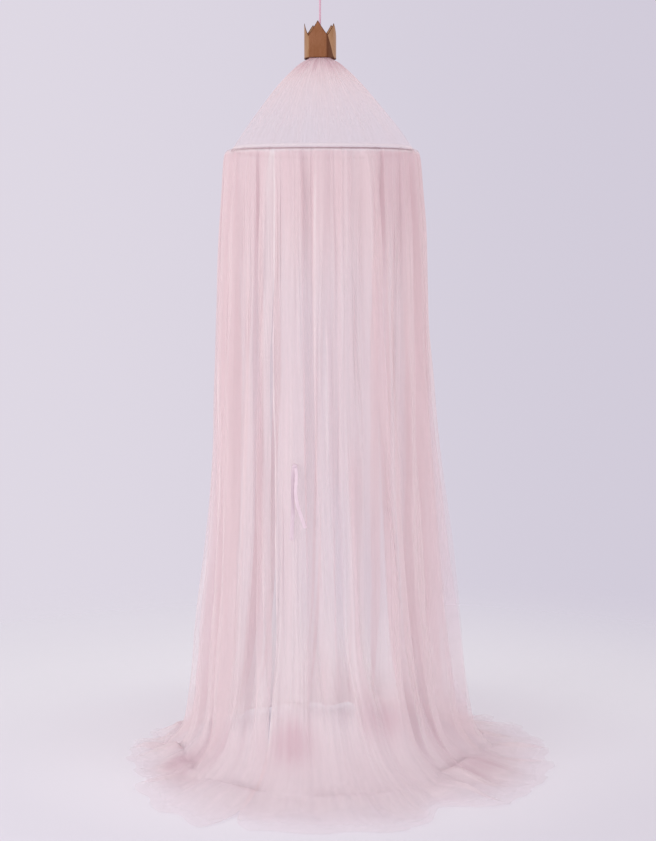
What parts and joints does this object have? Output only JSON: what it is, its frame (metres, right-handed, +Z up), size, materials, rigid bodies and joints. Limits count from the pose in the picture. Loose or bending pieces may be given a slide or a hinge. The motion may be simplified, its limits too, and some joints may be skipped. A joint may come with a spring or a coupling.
{
  "type": "mosquito net canopy with hoop and crown",
  "caption": "Sheer mosquito net canopy: pleated cone roof under a pointed crown, gathered skirt on a round hoop that pools on the floor, ribbon tie, hung on a looped cord.",
  "frame": {"origin": "inside top of the hanging loop, where the ceiling hook carries it", "axes": "+Z up, the front with the opening and the ribbon towards -Y, +X to the right seen from the front; the floor that the net pools on is at z = -2.600"},
  "size_m": [1.4303, 1.4393, 2.6048],
  "materials": {
    "net": "sheer pale pink nylon net, matt",
    "hoop": "dark mauve plastic sleeve on wire, satin",
    "crown": "polished gold-coloured sheet metal",
    "cord": "round pink satin cord",
    "ribbon": "pale pink satin ribbon"
  },
  "bodies": {
    "root": {"skirt": "net", "roof": "net", "hoop": "hoop", "crown": "crown", "ribbon_tie": "ribbon", "cord": "cord", "cord_knot": "cord", "hanging_loop": "cord"}
  },
  "joints": []
}
